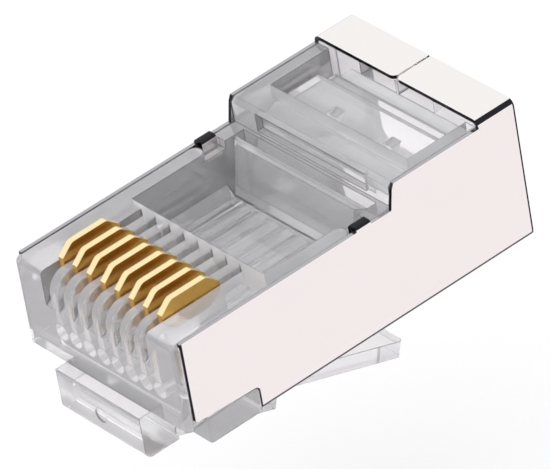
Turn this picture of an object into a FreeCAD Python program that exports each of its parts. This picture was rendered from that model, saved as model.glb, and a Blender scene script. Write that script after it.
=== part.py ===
import FreeCAD, Part
import os
import re
import Sketcher

# Shielded 8-way modular plug as delivered, with its blades standing proud, ready to be crimped.
# Millimetres. X runs across the plug, +Y from the mating face to the cable end, +Z to the blade side.
# The origin is on the mid-plane, in the plane of the mating face, at the underside of the housing.

SIZES = {
    # housing envelope
    "flush_half": 5.80,
    "core_half": 5.60,
    "housing_end": 21.30,
    "wall_top": 6.14,
    "roof_top": 7.50,
    "crown_top": 7.72,
    "crown_front": 19.15,
    "belly": 0.22,
    "bend_relief": 0.20,
    "step_face": 13.60,
    "step_lip": 0.24,
    "wall_round": 0.30,
    "rib_round": 1.00,
    "finger_round": 0.12,
    # underside of the nose, cheeks below the shield, collar before the shield
    "setback": 1.20,
    "chin": 1.25,
    "cheek_end": 4.30,
    "cheek_top": 1.42,
    "cheek_round": 0.15,
    "collar_end": 0.39,
    # blade slots and wire channels
    "blade_pitch": 1.02,
    "slot_width": 0.42,
    "slot_depth": 1.24,
    "slot_rear": 5.93,
    "slot_skew": 0.26,
    "slot_front_floor": 4.20,
    "bay_front": 1.06,
    "bay_rear": 4.80,
    "channel_radius": 0.45,
    "channel_height": 2.50,
    "channel_front": 1.00,
    "rib_field_half": 3.60,
    # front window over the wire channels
    "window_half": 4.75,
    "pit_front": 6.45,
    "pit_floor": 3.30,
    "pit_bevel": 0.50,
    "press_slot_front": 11.92,
    "press_slot_rear": 13.40,
    # cable cavity and its throat
    "cavity_half": 4.60,
    "cavity_floor": 0.75,
    "cavity_roof": 5.90,
    "cavity_front": 15.30,
    "cavity_round": 0.80,
    "throat_floor": 2.00,
    # rear window, the bridge behind it and the rib on the bridge
    "rear_window_half": 4.88,
    "rear_window_front": 15.48,
    "bridge_top": 7.00,
    "bridge_well_half": 2.60,
    "bridge_rib_half": 0.10,
    # recess in the step between the two windows
    "recess_half": 3.90,
    "recess_depth": 0.35,
    "recess_floor": 6.30,
    "recess_top": 7.26,
    # notch in each side wall for the lug of the shield, behind the wall's rounded end
    "notch_front": 11.10,
    "notch_rear": 12.22,
    "notch_floor": 5.70,
    "nub_round": 0.40,
    "lug_gap": 0.06,
    # latch and the root block that carries it
    "root_half": 3.05,
    "root_front": 0.70,
    "root_floor": 1.15,
    "root_rear": 1.30,
    "root_round": 0.40,
    "gate_radius": 0.40,
    "gate_depth": 0.06,
    "hinge_y": 1.60,
    "hinge_drop": 0.61,
    "hinge_gap": 0.03,
    "arm_half_thick": 0.43,
    "arm_angle": 18.3,
    "arm_length": 14.95,
    "shoulder_run": 5.75,
    "tail_half": 1.62,
    "tail_round": 0.30,
    # blades
    "blade_thick": 0.35,
    "blade_front": 1.14,
    "blade_rear": 4.64,
    "blade_top": 6.97,
    "blade_nose_run": 0.66,
    "blade_nose_drop": 0.58,
    "blade_tail_run": 0.74,
    "blade_tail_drop": 0.60,
    "tine_tip": 3.20,
    "tine_root": 4.40,
    "tine_width": 0.50,
    # shield
    "shield_half": 5.84,
    "sheet": 0.20,
    "bend": 0.40,
    "shield_front": 0.41,
    "shield_end": 21.38,
    "shield_top": 7.94,
    "side_top": 6.16,
    "side_window_top": 7.52,
    "side_step": 13.40,
    "side_lean": 0.22,
    "side_bevel_run": 0.14,
    "side_bevel_drop": 0.28,
    "flap_front": 19.13,
    "flap_seam": 0.12,
    "foot_front": 4.35,
    "foot_top": 1.46,
    "foot_rise": 0.18,
    "corner_round": 0.30,
    "lug_front": 11.24,
    "lug_rear": 12.14,
    "lug_top": 6.36,
    "lug_inner": 5.22,
    "lug_foot": 5.42,
    "lug_round": 0.18,
    "lug_bevel": 0.28,
    # conductor press in the front window
    "press_half": 4.71,
    "press_foot": 3.34,
    "press_top": 6.10,
    "press_foot_front": 11.97,
    "press_top_front": 12.42,
    "press_land": 0.46,
    "press_bevel": 0.42,
    # cable clamp in the rear window
    "clamp_half": 4.50,
    "clamp_front": 15.78,
    "clamp_rear": 18.10,
    "clamp_hinge": 19.05,
    "clamp_floor": 5.95,
    "clamp_web": 0.30,
    "clamp_top": 6.78,
    "barb_offset": 2.00,
    "barb_front": 16.60,
    "barb_length": 0.60,
    "barb_depth": 0.85,
    "barb_width": 0.60,
}
BLADES = 8
FIRST_BLADE = "blade_pitch * 3.5"
TOUCH = 0.01
LEAST_CHANGE = 1e-5


def formula(text):
    """A formula in the names above, as the spreadsheet's own expression."""
    return re.sub(r"[a-z_]+", lambda word: "Params." + word.group(0), text)


def new_body(doc, node):
    body = doc.addObject("PartDesign::Body", "Body_" + node)
    body.Label = node
    return body


def origin_plane(body, role):
    return next(item for item in body.Origin.OriginFeatures if item.Role == role)


def new_sketch(body, name, role, offset):
    """Empty sketch on a plane of the body's origin, moved along that plane's normal."""
    sketch = body.newObject("Sketcher::SketchObject", name)
    sketch.AttachmentSupport = [(origin_plane(body, role), "")]
    sketch.MapMode = "FlatFace"
    sketch.setExpression("AttachmentOffset.Base.z", formula(offset))
    return sketch


def hold_point(sketch, geometry, end, corner):
    """Hold one point of a sketch by its two distances from the origin."""
    for kind, text in zip(("DistanceX", "DistanceY"), corner):
        index = sketch.addConstraint(Sketcher.Constraint(kind, -1, 1, geometry, end, 1.0))
        sketch.setExpression("Constraints[%d]" % index, formula(text))


def outline(body, name, role, corners, offset="0"):
    """Closed outline of straight lines through corners given as formulas."""
    sketch = new_sketch(body, name, role, offset)
    starts = [FreeCAD.Vector(1, 0, 0)]
    turn = FreeCAD.Rotation(FreeCAD.Vector(0, 0, 1), 360.0 / len(corners))
    for _ in corners[1:]:
        starts.append(turn.multVec(starts[-1]))
    for index, start in enumerate(starts):
        sketch.addGeometry(Part.LineSegment(start, starts[(index + 1) % len(starts)]))
    for index in range(len(corners)):
        following = (index + 1) % len(corners)
        sketch.addConstraint(Sketcher.Constraint("Coincident", index, 2, following, 1))
    for index, corner in enumerate(corners):
        hold_point(sketch, index, 1, corner)
    return sketch


def rectangle(body, name, role, low, high, offset="0"):
    """Rectangle between two opposite corners."""
    corners = [low, (high[0], low[1]), high, (low[0], high[1])]
    return outline(body, name, role, corners, offset)


def disc(body, name, role, centre, radius, offset="0"):
    """Circle about a centre."""
    sketch = new_sketch(body, name, role, offset)
    sketch.addGeometry(Part.Circle(FreeCAD.Vector(1, 1, 0), FreeCAD.Vector(0, 0, 1), 1))
    hold_point(sketch, 0, 3, centre)
    index = sketch.addConstraint(Sketcher.Constraint("Radius", 0, 1.0))
    sketch.setExpression("Constraints[%d]" % index, formula(radius))
    return sketch


def extrude(body, kind, sketch, length, side="Symmetric", backwards=False):
    """Pad or Pocket of a sketch; Symmetric spreads the length to both sides of the sketch."""
    feature = body.newObject("PartDesign::" + kind, sketch.Name + kind)
    feature.Profile = sketch
    feature.SideType = side
    feature.Reversed = backwards
    feature.setExpression("Length", formula(length))
    return feature


def slab(body, kind, name, corners, width):
    """Side profile in Y and Z, padded or cut across the whole width about the mid-plane."""
    return extrude(body, kind, outline(body, name, "YZ_Plane", corners), width)


def box_cut(body, name, low, high, width):
    """Rectangular cut across the width about the mid-plane, between two points in Y and Z."""
    return extrude(body, "Pocket", rectangle(body, name, "YZ_Plane", low, high), width)


def edges_where(feature, test):
    """Names of the edges whose middle point passes the test."""
    names = []
    for index, edge in enumerate(feature.Shape.Edges):
        if edge.Degenerated:
            continue
        middle = edge.valueAt((edge.FirstParameter + edge.LastParameter) / 2)
        if test(edge, middle):
            names.append("Edge%d" % (index + 1))
    return names


def runs_along(edge, axis):
    """Whether a straight edge runs along one axis, 0 to 2 for X to Z."""
    if not isinstance(edge.Curve, Part.Line):
        return False
    return abs(abs(edge.Curve.Direction[axis]) - 1) < TOUCH ** 2


def near(value, *names):
    """Whether a coordinate equals a size, or the sum of several."""
    return abs(value - sum(SIZES[name] for name in names)) < TOUCH


def dress(body, kind, name, base, test, size):
    """Fillet or chamfer on the edges of a feature that pass the test."""
    body.Document.recompute()
    feature = body.newObject("PartDesign::" + kind, name)
    feature.Base = (base, edges_where(base, test))
    feature.setExpression("Radius" if kind == "Fillet" else "Size", formula(size))
    return feature


def pattern_across(body, name, originals):
    """Repeat features of the +X blade position at all the others."""
    pattern = body.newObject("PartDesign::LinearPattern", name)
    pattern.Originals = originals
    pattern.Direction = (origin_plane(body, "X_Axis"), [""])
    pattern.Reversed = True
    pattern.setExpression("Length", formula("blade_pitch * %d" % (BLADES - 1)))
    pattern.Occurrences = BLADES
    body.Tip = pattern
    return pattern


def mirror_across(body, name, originals):
    """Repeat features on the other side of the mid-plane."""
    mirror = body.newObject("PartDesign::Mirrored", name)
    mirror.Originals = originals
    mirror.MirrorPlane = (origin_plane(body, "YZ_Plane"), [""])
    body.Tip = mirror
    return mirror


def housing_blank(body):
    """Solid outside form: core, collar and cheeks flush with the shield."""
    slab(body, "Pad", "Core", [
        ("0", "chin"), ("setback", "chin"), ("setback", "0"), ("cheek_end", "0"),
        ("cheek_end", "belly"), ("housing_end", "belly"), ("housing_end", "crown_top"),
        ("crown_front", "crown_top"), ("crown_front", "roof_top"),
        ("step_face + step_lip", "roof_top"), ("step_face", "roof_top - step_lip"),
        ("step_face", "wall_top"), ("0", "wall_top")], "2 * core_half")
    slab(body, "Pad", "Collar", [
        ("0", "chin"), ("collar_end", "chin"), ("collar_end", "wall_top"), ("0", "wall_top")],
        "2 * flush_half")
    cheeks = slab(body, "Pad", "Cheeks", [
        ("setback", "0"), ("cheek_end", "0"), ("cheek_end", "cheek_top"), ("setback", "cheek_top")],
        "2 * flush_half")
    bends = dress(body, "Fillet", "BendRelief", cheeks, at_long_bends, "bend_relief")
    collar = dress(body, "Fillet", "CollarRound", bends, at_collar_corners, "wall_round")
    corner = dress(body, "Fillet", "CheekCorner", collar, at_cheek_corner, "corner_round")
    dress(body, "Fillet", "CheekRound", corner, at_cheek_front, "cheek_round")


def at_long_bends(edge, middle):
    """The core's long edges where the shield bends round it."""
    return runs_along(edge, 1) and near(abs(middle.x), "core_half") \
        and (near(middle.z, "belly") or near(middle.z, "crown_top"))


def at_collar_corners(edge, middle):
    """The collar's upright front corners, its two top side edges and the top edge of the mating face."""
    front = abs(middle.y) < TOUCH
    top = near(middle.z, "wall_top")
    side = near(abs(middle.x), "flush_half")
    return (front and top) or (front and side) or (top and side)


def at_cheek_corner(edge, middle):
    """The cheeks' upper rear corners, under the round of the shield's opening."""
    return runs_along(edge, 0) and near(middle.y, "cheek_end") and near(middle.z, "cheek_top")


def at_cheek_front(edge, middle):
    """The cheeks' upright front corners."""
    return runs_along(edge, 2) and near(middle.y, "setback") and near(abs(middle.x), "flush_half")


def housing_root(body):
    """Block below the nose that carries the latch, with the round socket of its hinge line."""
    root = slab(body, "Pad", "RootBlock", [
        ("-root_front", "chin"), ("-root_front", "-root_floor"), ("root_rear", "-root_floor"),
        ("root_rear", "chin")], "2 * root_half")
    dress(body, "Fillet", "RootRound", root, at_root_corner, "root_round")
    socket = disc(body, "HingeSocket", "YZ_Plane", ("hinge_y", "-hinge_drop"),
                  "arm_half_thick + hinge_gap")
    extrude(body, "Pocket", socket, "2 * root_half + 1")
    gate = disc(body, "GateMark", "XZ_Plane", ("0", "0"), "gate_radius", "root_front")
    extrude(body, "Pocket", gate, "gate_depth", "One side")


def at_root_corner(edge, middle):
    """The root block's lower front edge."""
    return runs_along(edge, 0) and near(-middle.y, "root_front") and near(-middle.z, "root_floor")


def housing_windows(body):
    """Open pit over the wires, slot for the press, wall notches, rear window and step recess."""
    box_cut(body, "Pit", ("pit_front", "pit_floor"), ("press_slot_rear", "roof_top"), "2 * window_half")
    box_cut(body, "PressSlot", ("press_slot_front", "throat_floor"), ("press_slot_rear", "wall_top"),
            "2 * window_half")
    bevel = outline(body, "PitBevel", "XZ_Plane", [
        ("window_half", "pit_floor"), ("window_half", "pit_floor + pit_bevel"),
        ("window_half - pit_bevel", "pit_floor")], "-pit_front")
    strip = extrude(body, "Pad", bevel, "press_slot_front - pit_front", "One side", True)
    mirror_across(body, "PitBevels", [strip])
    box_cut(body, "StepRecess", ("step_face - 1", "recess_floor"),
            ("step_face + recess_depth", "recess_top"), "2 * recess_half")
    box_cut(body, "LugNotch", ("notch_front", "notch_floor"), ("notch_rear", "wall_top"),
            "2 * core_half")
    plan = rectangle(body, "LugPocket", "XY_Plane", ("lug_inner - lug_gap", "lug_front - lug_gap"),
                     ("core_half", "lug_rear + lug_gap"), "notch_floor")
    pocket = extrude(body, "Pocket", plan, "notch_floor - lug_foot + lug_gap", "One side")
    pockets = mirror_across(body, "LugPockets", [pocket])
    dress(body, "Fillet", "NubRound", pockets, at_wall_end, "nub_round")


def at_wall_end(edge, middle):
    """The upright edges where each side wall ends at its notch."""
    return runs_along(edge, 2) and near(middle.y, "notch_front")


def housing_cavity(body):
    """Cable cavity from the rear, the throat that leads the wires on, and the bridge over it."""
    cavity = slab(body, "Pocket", "Cavity", [
        ("press_slot_front", "throat_floor"), ("press_slot_rear", "throat_floor"),
        ("cavity_front", "cavity_floor"), ("housing_end + 1", "cavity_floor"),
        ("housing_end + 1", "cavity_roof"), ("cavity_front", "cavity_roof"),
        ("press_slot_rear", "pit_floor"), ("press_slot_front", "pit_floor")], "2 * cavity_half")
    dress(body, "Fillet", "CavityRound", cavity, at_cavity_edge, "cavity_round")
    box_cut(body, "RearWindow", ("rear_window_front", "cavity_roof - 0.1"),
            ("crown_front", "crown_top + 1"), "2 * rear_window_half")
    box_cut(body, "BridgeWell", ("crown_front", "bridge_top"), ("housing_end + 1", "crown_top + 1"),
            "2 * bridge_well_half")
    slab(body, "Pad", "BridgeRib", [
        ("crown_front", "bridge_top - 0.1"), ("housing_end", "bridge_top - 0.1"),
        ("housing_end", "crown_top"), ("crown_front", "crown_top")], "2 * bridge_rib_half")


def at_cavity_edge(edge, middle):
    """The two lower edges of the cable cavity."""
    return runs_along(edge, 1) and near(abs(middle.x), "cavity_half") and near(middle.z, "cavity_floor")


def housing_comb(body):
    """Rounded ribs at the nose, and one blade slot with its wire channel, repeated across."""
    box_cut(body, "RibClearance", ("-1", "wall_top - rib_round"), ("rib_round", "wall_top + 1"),
            "2 * rib_field_half")
    nose = disc(body, "RibNose", "YZ_Plane", ("rib_round", "wall_top - rib_round"), "rib_round")
    extrude(body, "Pad", nose, "2 * rib_field_half")
    left, right = FIRST_BLADE + " - slot_width / 2", FIRST_BLADE + " + slot_width / 2"
    plan = outline(body, "SlotPlan", "XY_Plane", [
        (left, "-1"), (right, "-1"), (right, "slot_rear"), (left, "slot_rear + slot_skew")], "wall_top")
    slot = extrude(body, "Pocket", plan, "slot_depth", "One side")
    mouth = outline(body, "SlotMouth", "YZ_Plane", [
        ("-1", "slot_front_floor"), ("0", "slot_front_floor"),
        ("wall_top - slot_depth - slot_front_floor", "wall_top - slot_depth"),
        ("-1", "wall_top - slot_depth")], FIRST_BLADE)
    mouth_cut = extrude(body, "Pocket", mouth, "slot_width")
    bay = rectangle(body, "BladeBay", "YZ_Plane", ("bay_front", "channel_height"),
                    ("bay_rear", "wall_top"), FIRST_BLADE)
    bay_cut = extrude(body, "Pocket", bay, "slot_width")
    channel = disc(body, "WireChannel", "XZ_Plane", (FIRST_BLADE, "channel_height"),
                   "channel_radius", "-channel_front")
    channel_cut = extrude(body, "Pocket", channel, "press_slot_front - channel_front + 0.1", "One side")
    comb = pattern_across(body, "BladeComb", [slot, mouth_cut, bay_cut, channel_cut])
    dress(body, "Fillet", "FingerRound", comb, at_finger_edge, "finger_round")


def at_finger_edge(edge, middle):
    """The top edges of the fingers between the blade slots."""
    return runs_along(edge, 1) and near(middle.z, "wall_top") \
        and SIZES["rib_round"] < middle.y < SIZES["slot_rear"] and abs(middle.x) < SIZES["rib_field_half"]


def make_housing(doc):
    """Clear moulding that holds everything else."""
    body = new_body(doc, "housing")
    housing_blank(body)
    housing_root(body)
    housing_windows(body)
    housing_cavity(body)
    housing_comb(body)
    return body


def make_latch(doc):
    """Sprung arm, drawn level along +Y from its hinge line and then hung at its rest angle."""
    body = new_body(doc, "latch")
    slab(body, "Pad", "Arm", [
        ("0", "-arm_half_thick"), ("arm_length", "-arm_half_thick"),
        ("arm_length", "arm_half_thick"), ("0", "arm_half_thick")], "2 * root_half")
    knuckle = disc(body, "Knuckle", "YZ_Plane", ("0", "0"), "arm_half_thick")
    extrude(body, "Pad", knuckle, "2 * root_half")
    side = rectangle(body, "TailSide", "XY_Plane", ("tail_half", "shoulder_run"),
                     ("root_half + 1", "arm_length + 1"))
    cut = extrude(body, "Pocket", side, "4 * arm_half_thick")
    tail = mirror_across(body, "TailSides", [cut])
    dress(body, "Fillet", "TailRound", tail, at_tail_corner, "tail_round")
    body.Placement = FreeCAD.Placement(FreeCAD.Vector(), FreeCAD.Rotation(FreeCAD.Vector(1, 0, 0), -1))
    body.setExpression("Placement.Base.y", formula("hinge_y"))
    body.setExpression("Placement.Base.z", formula("-hinge_drop"))
    body.setExpression("Placement.Rotation.Angle", formula("-arm_angle"))
    return body


def at_tail_corner(edge, middle):
    """The tail's two end corners."""
    return runs_along(edge, 2) and near(middle.y, "arm_length")


def make_blade(doc, place):
    """One contact: a flat blade with a rounded shoulder and three tines that pierce the wire."""
    body = new_body(doc, "contact_%d" % (place + 1))
    blade = slab(body, "Pad", "Blade%d" % (place + 1), [
        ("blade_front", "tine_root"), ("blade_front", "blade_top - blade_nose_drop"),
        ("blade_front + blade_nose_run", "blade_top"), ("blade_rear - blade_tail_run", "blade_top"),
        ("blade_rear", "blade_top - blade_tail_drop"), ("blade_rear", "tine_root"),
        ("blade_rear - tine_width / 2", "tine_tip"), ("blade_rear - tine_width", "tine_root"),
        ("blade_front / 2 + blade_rear / 2 + tine_width / 2", "tine_root"),
        ("blade_front / 2 + blade_rear / 2", "tine_tip"),
        ("blade_front / 2 + blade_rear / 2 - tine_width / 2", "tine_root"),
        ("blade_front + tine_width", "tine_root"), ("blade_front + tine_width / 2", "tine_tip")],
        "blade_thick")
    dress(body, "Fillet", "BladeRound%d" % (place + 1), blade, at_blade_top, "tail_round")
    body.setExpression("Placement.Base.x", formula("blade_pitch * %.1f" % ((BLADES - 1) / 2 - place)))
    return body


def at_blade_top(edge, middle):
    """The two ends of the blade's top land."""
    return runs_along(edge, 0) and near(middle.z, "blade_top")


def make_shield(doc):
    """One folded sheet: floor, two sides with a lug each, and two flaps that meet on top."""
    body = new_body(doc, "shield")
    outer = rectangle(body, "Wrap", "XZ_Plane", ("-shield_half", "0"), ("shield_half", "shield_top"),
                      "-shield_front")
    wrap = extrude(body, "Pad", outer, "shield_end - shield_front", "One side", True)
    bends = dress(body, "Fillet", "OuterBends", wrap, at_corner_line, "bend")
    inner = rectangle(body, "Inside", "XZ_Plane", ("sheet - shield_half", "sheet"),
                      ("shield_half - sheet", "shield_top - sheet"), "-shield_front")
    hollow = extrude(body, "Pocket", inner, "shield_end - shield_front", "One side")
    dress(body, "Fillet", "InnerBends", hollow, at_inner_corner_line, "bend - sheet")
    slab(body, "Pocket", "TopTrim", [
        ("0", "side_top"), ("side_step", "side_top"),
        ("side_step + side_lean", "side_window_top - side_bevel_drop"),
        ("side_step + side_lean + side_bevel_run", "side_window_top"),
        ("flap_front", "side_window_top"), ("flap_front", "shield_top + 1"), ("0", "shield_top + 1")],
        "2 * shield_half + 1")
    foot = slab(body, "Pocket", "FootTrim", [
        ("0", "-1"), ("foot_front", "-1"), ("foot_front", "foot_top"), ("0", "foot_top + foot_rise")],
        "2 * shield_half + 1")
    rounds = dress(body, "Fillet", "FootRound", foot, at_foot_corner, "corner_round")
    box_cut(body, "Seam", ("flap_front - 1", "shield_top - 2 * sheet"), ("shield_end + 1", "shield_top + 1"),
            "flap_seam")
    dress(body, "Fillet", "SeamRound", body.Tip, at_seam_corner, "corner_round")
    shield_lugs(body)
    return body


def shield_lugs(body):
    """Lug on each side's top edge, folded in over the wall and down into its notch."""
    fold = outline(body, "Lug", "XZ_Plane", [
        ("shield_half - sheet", "side_top - sheet"), ("shield_half", "side_top - sheet"),
        ("shield_half", "lug_top"), ("lug_inner", "lug_top"), ("lug_inner", "lug_foot"),
        ("lug_inner + sheet", "lug_foot"), ("lug_inner + sheet", "lug_top - sheet"),
        ("shield_half - sheet", "lug_top - sheet")], "-lug_front")
    lug = extrude(body, "Pad", fold, "lug_rear - lug_front", "One side", True)
    lugs = mirror_across(body, "Lugs", [lug])
    bends = dress(body, "Fillet", "LugBends", lugs, at_lug_bend, "lug_round")
    dress(body, "Chamfer", "LugCorners", bends, at_lug_corner, "lug_bevel")


def at_lug_bend(edge, middle):
    """The two bends on top of each lug."""
    return runs_along(edge, 1) and near(middle.z, "lug_top")


def at_lug_corner(edge, middle):
    """The two lower corners of each lug's foot."""
    return runs_along(edge, 0) and near(middle.z, "lug_foot")


def at_corner_line(edge, middle):
    """The long edges of the wrap."""
    return runs_along(edge, 1)


def at_inner_corner_line(edge, middle):
    """The long sharp edges inside the wrap."""
    level = near(middle.z, "sheet") or near(middle.z + SIZES["sheet"], "shield_top")
    return runs_along(edge, 1) and near(abs(middle.x) + SIZES["sheet"], "shield_half") and level


def at_foot_corner(edge, middle):
    """The corners of the opening over each cheek."""
    rise = middle.z - SIZES["foot_top"]
    return runs_along(edge, 0) and -TOUCH < rise < SIZES["foot_rise"]


def at_seam_corner(edge, middle):
    """The front corners of the flaps at the seam."""
    return runs_along(edge, 2) and near(middle.y, "flap_front") and near(2 * abs(middle.x), "flap_seam")


def make_press(doc):
    """Leaning plate across the front window that the crimp drives down on the wires."""
    body = new_body(doc, "conductor_press")
    plate = slab(body, "Pad", "Plate", [
        ("press_foot_front", "press_foot"), ("press_top_front", "press_top"),
        ("press_top_front + press_land", "press_top"),
        ("press_top_front + press_land", "press_foot")], "2 * press_half")
    dress(body, "Chamfer", "PlateEnds", plate, at_plate_end, "press_bevel")
    return body


def at_plate_end(edge, middle):
    """The plate's two leaning front edges."""
    return near(abs(middle.x), "press_half") and near(2 * middle.y, "press_foot_front", "press_top_front")


def make_clamp(doc):
    """Plate in the rear window that folds down on the cable jacket about its rear web."""
    body = new_body(doc, "cable_clamp")
    slab(body, "Pad", "ClampPlate", [
        ("clamp_front", "clamp_floor"), ("clamp_hinge", "clamp_floor"),
        ("clamp_hinge", "clamp_floor + clamp_web"), ("clamp_rear", "clamp_floor + clamp_web"),
        ("clamp_rear", "clamp_top"), ("clamp_front", "clamp_top")], "2 * clamp_half")
    barb = outline(body, "Barb", "YZ_Plane", [
        ("barb_front", "clamp_floor"), ("barb_front", "clamp_floor - barb_depth"),
        ("barb_front + barb_length", "clamp_floor")], "barb_offset")
    tooth = extrude(body, "Pad", barb, "barb_width")
    mirror_across(body, "Barbs", [tooth])
    return body


def fill_sheet(doc):
    """Driving dimensions, one alias a row."""
    sheet = doc.addObject("Spreadsheet::Sheet", "Params")
    for row, (alias, value) in enumerate(SIZES.items(), start=1):
        sheet.set("A%d" % row, alias)
        sheet.set("B%d" % row, "%.4f" % value)
        sheet.setAlias("B%d" % row, alias)


def check_features(body):
    """Every feature of a body must change the shape it starts from."""
    before = (0.0, 0.0)
    for feature in body.Group:
        if feature.isDerivedFrom("Sketcher::SketchObject"):
            continue
        after = (feature.Shape.Volume, feature.Shape.Area)
        if max(abs(after[0] - before[0]), abs(after[1] - before[1])) < LEAST_CHANGE:
            raise RuntimeError("no effect: " + feature.Name)
        before = after


def main():
    doc = FreeCAD.newDocument("modular_plug")
    fill_sheet(doc)
    doc.recompute()
    bodies = [make_housing(doc), make_latch(doc), make_shield(doc), make_press(doc), make_clamp(doc)]
    bodies += [make_blade(doc, place) for place in range(BLADES)]
    doc.recompute()
    for item in doc.Objects:
        if {"Invalid", "Error"} & set(item.State):
            raise RuntimeError("failed: " + item.Name)
    os.makedirs("parts", exist_ok=True)
    for body in bodies:
        check_features(body)
        if body.Shape.isNull() or not body.Shape.isValid() or len(body.Shape.Solids) != 1:
            raise RuntimeError("bad shape: " + body.Label)
        body.Shape.exportStep("parts/%s.step" % body.Label)
        box = body.Shape.BoundBox
        print("%-16s %8.3f mm3  x %.2f %.2f  y %.2f %.2f  z %.2f %.2f" % (
            body.Label, body.Shape.Volume, box.XMin, box.XMax, box.YMin, box.YMax, box.ZMin, box.ZMax))


main()
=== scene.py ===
import math
import bpy
import numpy as np
from mathutils import Matrix, Vector


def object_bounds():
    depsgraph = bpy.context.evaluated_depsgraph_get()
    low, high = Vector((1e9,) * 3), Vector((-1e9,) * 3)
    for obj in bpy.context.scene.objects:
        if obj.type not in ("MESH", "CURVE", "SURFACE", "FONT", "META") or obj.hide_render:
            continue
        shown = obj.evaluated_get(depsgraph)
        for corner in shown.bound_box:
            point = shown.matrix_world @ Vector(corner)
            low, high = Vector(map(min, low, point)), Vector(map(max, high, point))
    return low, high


# Shielded modular plug: clear polycarbonate housing, nickel-plated sheet shield, gold-plated blades.
# Metres. +X runs across the plug, +Y from the mating face to the cable end, +Z to the blade side.

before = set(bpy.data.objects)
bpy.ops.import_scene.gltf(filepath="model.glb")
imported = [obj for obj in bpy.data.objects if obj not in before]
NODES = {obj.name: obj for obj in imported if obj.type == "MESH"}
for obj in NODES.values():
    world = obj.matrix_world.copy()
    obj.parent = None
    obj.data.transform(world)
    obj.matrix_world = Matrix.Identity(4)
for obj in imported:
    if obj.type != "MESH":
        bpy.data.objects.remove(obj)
CAD_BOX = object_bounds()
MM = 0.001
BLADES = 8
FLOOR_DROP = 12 * MM
LAMP_AIM = (0, 0.01, 0)
CAMERA_AIM = (0, 10.7 * MM, 4.0 * MM)
CAMERA_DISTANCE = 0.3699
CAMERA_TURN = (54.98, 35.43, -10.19)

# Landmarks of the shield, in millimetres.
SHEET = [corner[1] / MM for corner in NODES["shield"].bound_box]
SHEET_MIDDLE, SHEET_HALF = (max(SHEET) + min(SHEET)) / 2, (max(SHEET) - min(SHEET)) / 2
SHEAR_ROLL = 0.09
LUG_TOP, LUG_TOP_PLAY = 6.36, 0.05
CUT_TOPS_MIDDLE, CUT_TOPS_HALF = 4.3, 3.3
INNER_FACE = 5.4

# How squarely a face has to look one way to count, as a share of 1.
SQUARE = 0.9
# FOLD_TURN and UNDERSIDE_FOLD_GAIN set where the painted shade on the sheet's folds begins.
FOLD_TURN = 0.38
UNDERSIDE_FOLD_GAIN = -2.0
# Painted highlight: blade faces turned up past this share are painted pale gold.
BLADE_TOP_HIGHLIGHT_RISE = 0.3


# ---------------------------------------------------------------- materials

def linear(code):
    """sRGB hex colour as opaque linear RGBA."""
    parts = np.array([int(code[i:i + 2], 16) for i in (0, 2, 4)]) / 255.0
    parts = np.where(parts <= 0.04045, parts / 12.92, ((parts + 0.055) / 1.055) ** 2.4)
    return (*parts.tolist(), 1.0)


def per_mm(*counts):
    """Counts per millimetre along X, Y and Z as counts per metre."""
    return [count / MM for count in counts]


def add(tree, kind, inputs=None, **settings):
    """Add a shader node: settings are its properties, and inputs maps its sockets to values, outputs
    or nodes, of which the first output is taken."""
    node = tree.nodes.new("ShaderNode" + kind)
    for name, value in settings.items():
        setattr(node, name, value)
    for socket, value in (inputs or {}).items():
        value = value.outputs[0] if isinstance(value, bpy.types.Node) else value
        if isinstance(value, bpy.types.NodeSocket):
            tree.links.new(value, node.inputs[socket])
        else:
            node.inputs[socket].default_value = value
    return node


def new_material(name):
    """Empty node material and its tree."""
    material = bpy.data.materials.new(name)
    material.use_nodes = True
    material.node_tree.nodes.clear()
    return material, material.node_tree


def clear_polycarbonate():
    """Clear polycarbonate, injection moulded in a polished mould: glossy and a little milky, with soft
    flow waves one to two millimetres long. Its edges are rounded by the tool and carry a painted grey
    line of shade, and its narrow corners get painted shade, a touch darker and cooler."""
    material, tree = new_material("polycarbonate_clear_moulded")
    place = add(tree, "TexCoord").outputs["Object"]
    edges = add(tree, "Bevel", {"Radius": 0.09 * MM}, samples=6)
    stretched = add(tree, "Mapping", {"Vector": place, "Scale": per_mm(1, 0.5, 1)})
    waves = add(tree, "TexNoise", {"Vector": stretched, "Scale": 0.9, "Detail": 2.0})
    flow = add(tree, "Bump", {"Strength": 0.05, "Distance": 0.05 * MM, "Height": waves,
                              "Normal": edges})
    # Painted shade: ambient occlusion makes narrow corners a touch darker and cooler.
    painted_corner_shade = add(tree, "AmbientOcclusion", {"Distance": 0.25 * MM}, samples=4).outputs["AO"]
    tone = add(tree, "Mix", {0: painted_corner_shade, 6: linear("F8F9FC"), 7: linear("FEFEFF")},
               data_type="RGBA").outputs[2]
    # Painted shade: a deep grey line where the bevelled edges turn away from the face.
    turned = add(tree, "VectorMath", {0: edges, 1: add(tree, "NewGeometry").outputs["True Normal"]},
                 operation="DOT_PRODUCT").outputs["Value"]
    painted_edge_shade = add(tree, "MapRange", {"Value": turned, "From Min": 0.98, "From Max": 0.80})
    tone = add(tree, "Mix", {0: painted_edge_shade, 6: tone, 7: linear("50505A")},
               data_type="RGBA").outputs[2]
    shader = add(tree, "BsdfPrincipled", {"Base Color": tone, "Roughness": 0.05, "IOR": 1.42,
                                          "Coat Weight": 0.6, "Coat IOR": 1.6,
                                          "Transmission Weight": 0.80, "Normal": flow})
    add(tree, "OutputMaterial", {"Surface": shader})
    return material


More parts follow.
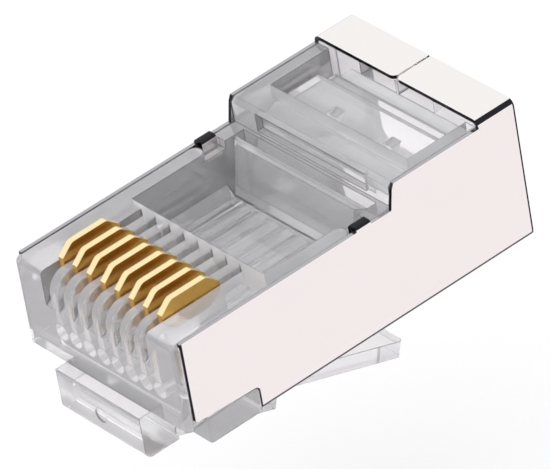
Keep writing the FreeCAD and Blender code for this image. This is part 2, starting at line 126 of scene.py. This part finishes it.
def sheet_masks(tree):
    """Masks on the folded sheet: 1 on its folds, its sheared ends and the tops of its lugs, for painted
    shade; 1 on the cut tops of its sides; and 1 on the inner faces of its sides, for painted shade.
    They are told apart by the way each face looks and by where it lies, in millimetres."""
    facing = add(tree, "TexCoord").outputs["Normal"]
    spot = add(tree, "Mapping", {"Vector": add(tree, "TexCoord").outputs["Object"],
                                 "Scale": per_mm(1, 1, 1)})
    place = add(tree, "SeparateXYZ", {0: spot}).outputs
    square = add(tree, "VectorMath", {0: facing}, operation="ABSOLUTE")
    side, end, level = add(tree, "SeparateXYZ", {0: square}).outputs
    up = add(tree, "SeparateXYZ", {0: facing}).outputs["Z"]

    # Painted shade: folds, sheared ends and lug tops are marked to be painted near black.
    down = add(tree, "Math", {0: up, 1: UNDERSIDE_FOLD_GAIN}, operation="MULTIPLY")
    tilt = add(tree, "Math", {0: level, 1: down}, operation="MAXIMUM")
    fold = add(tree, "Math", {0: side, 1: tilt}, operation="MULTIPLY")
    fold_or_end = add(tree, "Math", {0: fold, 1: end}, operation="MAXIMUM")
    fold_and_cut_shade = add(tree, "Math", {0: fold_or_end, 1: FOLD_TURN}, operation="GREATER_THAN")

    flat = add(tree, "Math", {0: level, 1: SQUARE}, operation="GREATER_THAN")
    lug = add(tree, "Math", {0: place["Z"], 1: LUG_TOP, 2: LUG_TOP_PLAY}, operation="COMPARE")
    fold_and_cut_shade = add(tree, "Math", {0: lug, 1: flat, 2: fold_and_cut_shade}, operation="MULTIPLY_ADD")

    middle = add(tree, "Math", {0: place["Y"], 1: SHEET_MIDDLE, 2: SHEET_HALF - SHEAR_ROLL},
                 operation="COMPARE")
    rolled = add(tree, "Math", {0: side, 1: middle}, operation="SUBTRACT")
    rolled = add(tree, "Math", {0: rolled, 1: SQUARE}, operation="GREATER_THAN")
    fold_and_cut_shade = add(tree, "Math", {0: fold_and_cut_shade, 1: rolled}, operation="MAXIMUM")

    band = add(tree, "Math", {0: place["Z"], 1: CUT_TOPS_MIDDLE, 2: CUT_TOPS_HALF},
               operation="COMPARE")
    rim = add(tree, "Math", {0: band, 1: flat}, operation="MULTIPLY")

    # Painted shade: the inner faces of the sides are marked for a greyer, duller tone.
    across = add(tree, "VectorMath", {0: spot, 1: (1, 0, 0)}, operation="MULTIPLY")
    outward = add(tree, "VectorMath", {0: facing, 1: across},
                  operation="DOT_PRODUCT").outputs["Value"]
    inside_shade = add(tree, "Math", {0: outward, 1: -INNER_FACE}, operation="LESS_THAN")
    return fold_and_cut_shade, rim, inside_shade


def nickel_sheet():
    """Nickel-plated steel sheet, rolled, stamped and folded: satin mirror, near black with painted shade
    where it was folded or sheared square, grey along its cut tops, and a painted shade on the inner
    faces of its sides. Real rolling lines are about 0.01 mm wide: too fine to show, they are drawn about
    0.04 mm wide, enough to soften the mirror."""
    material, tree = new_material("steel_sheet_nickel_plated")
    place = add(tree, "TexCoord").outputs["Object"]
    along = add(tree, "Mapping", {"Vector": place, "Scale": per_mm(6, 0.15, 6)})
    lines = add(tree, "TexNoise", {"Vector": along, "Scale": 4.0, "Detail": 3.0})
    spot = add(tree, "Mapping", {"Vector": place, "Scale": per_mm(1, 1, 1)})
    haze = add(tree, "TexNoise", {"Vector": spot, "Scale": 0.35, "Detail": 2.0})
    rough = add(tree, "MapRange", {"Value": haze, "To Min": 0.10, "To Max": 0.20})
    bump = add(tree, "Bump", {"Strength": 0.04, "Distance": 0.02 * MM, "Height": lines})
    fold_and_cut_shade, rim, inside_shade = sheet_masks(tree)
    tone = linear("F5F1EF")
    # Painted shade: B4B2B0 on the inner faces and 2A2A2E on folds, sheared ends and lug tops; B4B4B8 is
    # the grey of the cut tops.
    for mask, colour in ((inside_shade, "B4B2B0"), (rim, "B4B4B8"), (fold_and_cut_shade, "2A2A2E")):
        tone = add(tree, "Mix", {0: mask, 6: tone, 7: linear(colour)}, data_type="RGBA").outputs[2]
    shader = add(tree, "BsdfPrincipled", {"Metallic": 1.0, "Base Color": tone, "Roughness": rough,
                                          "Normal": bump})
    add(tree, "OutputMaterial", {"Surface": shader})
    return material


def gold_blade():
    """Phosphor bronze blade, stamped and gold plated: a painted highlight makes its up-facing faces pale
    gold, deeper gold on the flats. Real shear marks across the thickness are about 0.01 mm wide: too fine
    to show, they are drawn about 0.05 mm wide."""
    material, tree = new_material("phosphor_bronze_gold_plated")
    coordinates = add(tree, "TexCoord").outputs
    sheared = add(tree, "Mapping", {"Vector": coordinates["Object"], "Scale": per_mm(0.4, 6, 3)})
    marks = add(tree, "TexNoise", {"Vector": sheared, "Scale": 3.0, "Detail": 2.0})
    edges = add(tree, "Bevel", {"Radius": 0.03 * MM}, samples=4)
    bump = add(tree, "Bump", {"Strength": 0.1, "Distance": 0.02 * MM, "Height": marks,
                              "Normal": edges})
    # Painted highlight: faces turned upwards are painted a pale gold.
    up = add(tree, "SeparateXYZ", {0: coordinates["Normal"]}).outputs["Z"]
    rim = add(tree, "Math", {0: up, 1: BLADE_TOP_HIGHLIGHT_RISE}, operation="GREATER_THAN")
    flat = add(tree, "Mix", {0: marks, 6: linear("DEA84A"), 7: linear("F0C670")},
               data_type="RGBA").outputs[2]
    tone = add(tree, "Mix", {0: rim, 6: flat, 7: linear("FBE9B6")}, data_type="RGBA").outputs[2]
    shader = add(tree, "BsdfPrincipled", {"Metallic": 1.0, "Roughness": 0.2, "Base Color": tone,
                                          "Normal": bump})
    add(tree, "OutputMaterial", {"Surface": shader})
    return material


def dress(node, material):
    """Give a CAD node its finish."""
    slots = NODES[node].material_slots
    if not slots:
        NODES[node].data.materials.append(material)
    for slot in slots:
        slot.material = material


PLASTIC = clear_polycarbonate()
NICKEL = nickel_sheet()
GOLD = gold_blade()
for part in ("housing", "latch", "conductor_press", "cable_clamp"):
    dress(part, PLASTIC)
dress("shield", NICKEL)
for place in range(BLADES):
    dress("contact_%d" % (place + 1), GOLD)


# ---------------------------------------------------------------- stage

def floor():
    """Plain white floor under the lowest point. It keeps its shadows, and the metal and the plastic show
    it as the white background."""
    half, low = 0.6, CAD_BOX[0][2] - FLOOR_DROP
    corners = [(-half, -half, low), (half, -half, low), (half, half, low), (-half, half, low)]
    mesh = bpy.data.meshes.new("studio_floor")
    mesh.from_pydata(corners, [], [(0, 1, 2, 3)])
    plane = bpy.data.objects.new("studio_floor", mesh)
    bpy.context.scene.collection.objects.link(plane)
    material, tree = new_material("floor_matt_white")
    path = add(tree, "LightPath").outputs
    tone = add(tree, "Mix", {0: path["Is Glossy Ray"], 6: linear("FFFFFF"), 7: linear("FFFAFC")},
               data_type="RGBA").outputs[2]
    shown = add(tree, "Math", {0: path["Is Glossy Ray"], 1: path["Is Transmission Ray"]},
                operation="MAXIMUM")
    shown = add(tree, "Math", {0: path["Is Camera Ray"], 1: 0.6, 2: shown},
                operation="MULTIPLY_ADD")
    matt = add(tree, "BsdfDiffuse", {"Color": linear("FFFFFF")})
    plain = add(tree, "Emission", {"Color": tone, "Strength": 1.0})
    shader = add(tree, "MixShader", {0: shown, 1: matt, 2: plain})
    add(tree, "OutputMaterial", {"Surface": shader})
    mesh.materials.append(material)


def softbox(name, place, size, power):
    """Square white area light aimed at the plug, sizes and places in metres, power in watts."""
    data = bpy.data.lights.new(name, "AREA")
    data.size = size
    data.energy = power
    lamp = bpy.data.objects.new(name, data)
    lamp.location = place
    lamp.rotation_euler = (Vector(LAMP_AIM) - Vector(place)).to_track_quat("-Z", "Y").to_euler()
    bpy.context.scene.collection.objects.link(lamp)


def sky():
    """White to the camera, in reflections and through the plastic; a pale grey studio lights the rest."""
    world = bpy.data.worlds.new("studio")
    bpy.context.scene.world = world
    world.use_nodes = True
    tree = world.node_tree
    tree.nodes.clear()
    path = add(tree, "LightPath").outputs
    shown = add(tree, "Math", {0: path["Is Camera Ray"], 1: path["Is Glossy Ray"]},
                operation="MAXIMUM")
    shown = add(tree, "Math", {0: shown, 1: path["Is Transmission Ray"]}, operation="MAXIMUM")
    tone = add(tree, "Mix", {0: shown, 6: linear("E2E2E6"), 7: linear("FFFFFF")},
               data_type="RGBA").outputs[2]
    add(tree, "OutputWorld", {"Surface": add(tree, "Background", {"Color": tone, "Strength": 1.0})})


def camera():
    """Long lens about 370 mm away, turned a little about its own axis."""
    azimuth, elevation, roll = (math.radians(angle) for angle in CAMERA_TURN)
    back = Vector((math.sin(azimuth) * math.cos(elevation), -math.cos(azimuth) * math.cos(elevation),
                   math.sin(elevation)))
    right = Vector((math.cos(azimuth), math.sin(azimuth), 0))
    up = back.cross(right)
    right, up = (right * math.cos(roll) + up * math.sin(roll),
                 up * math.cos(roll) - right * math.sin(roll))
    data = bpy.data.cameras.new("camera")
    data.lens = 517.5
    data.sensor_width = 36
    data.shift_x = 0.0054
    data.shift_y = -0.0087
    data.clip_start = 0.01
    eye = bpy.data.objects.new("camera", data)
    stand = Matrix.Translation(Vector(CAMERA_AIM) + back * CAMERA_DISTANCE)
    eye.matrix_world = stand @ Matrix((right, up, back)).transposed().to_4x4()
    bpy.context.scene.collection.objects.link(eye)
    bpy.context.scene.camera = eye


floor()
softbox("top_softbox", (0.10, -0.10, 0.50), 0.4, 1.0)
softbox("front_softbox", (-0.20, -0.45, 0.12), 0.3, 0.6)
sky()
camera()
bpy.context.scene.view_settings.view_transform = "Standard"

# Light crosses many walls of clear plastic before it leaves the plug.
bpy.context.scene.cycles.max_bounces = 48
bpy.context.scene.cycles.transmission_bounces = 32
bpy.context.scene.cycles.glossy_bounces = 12
bpy.context.scene.cycles.diffuse_bounces = 8
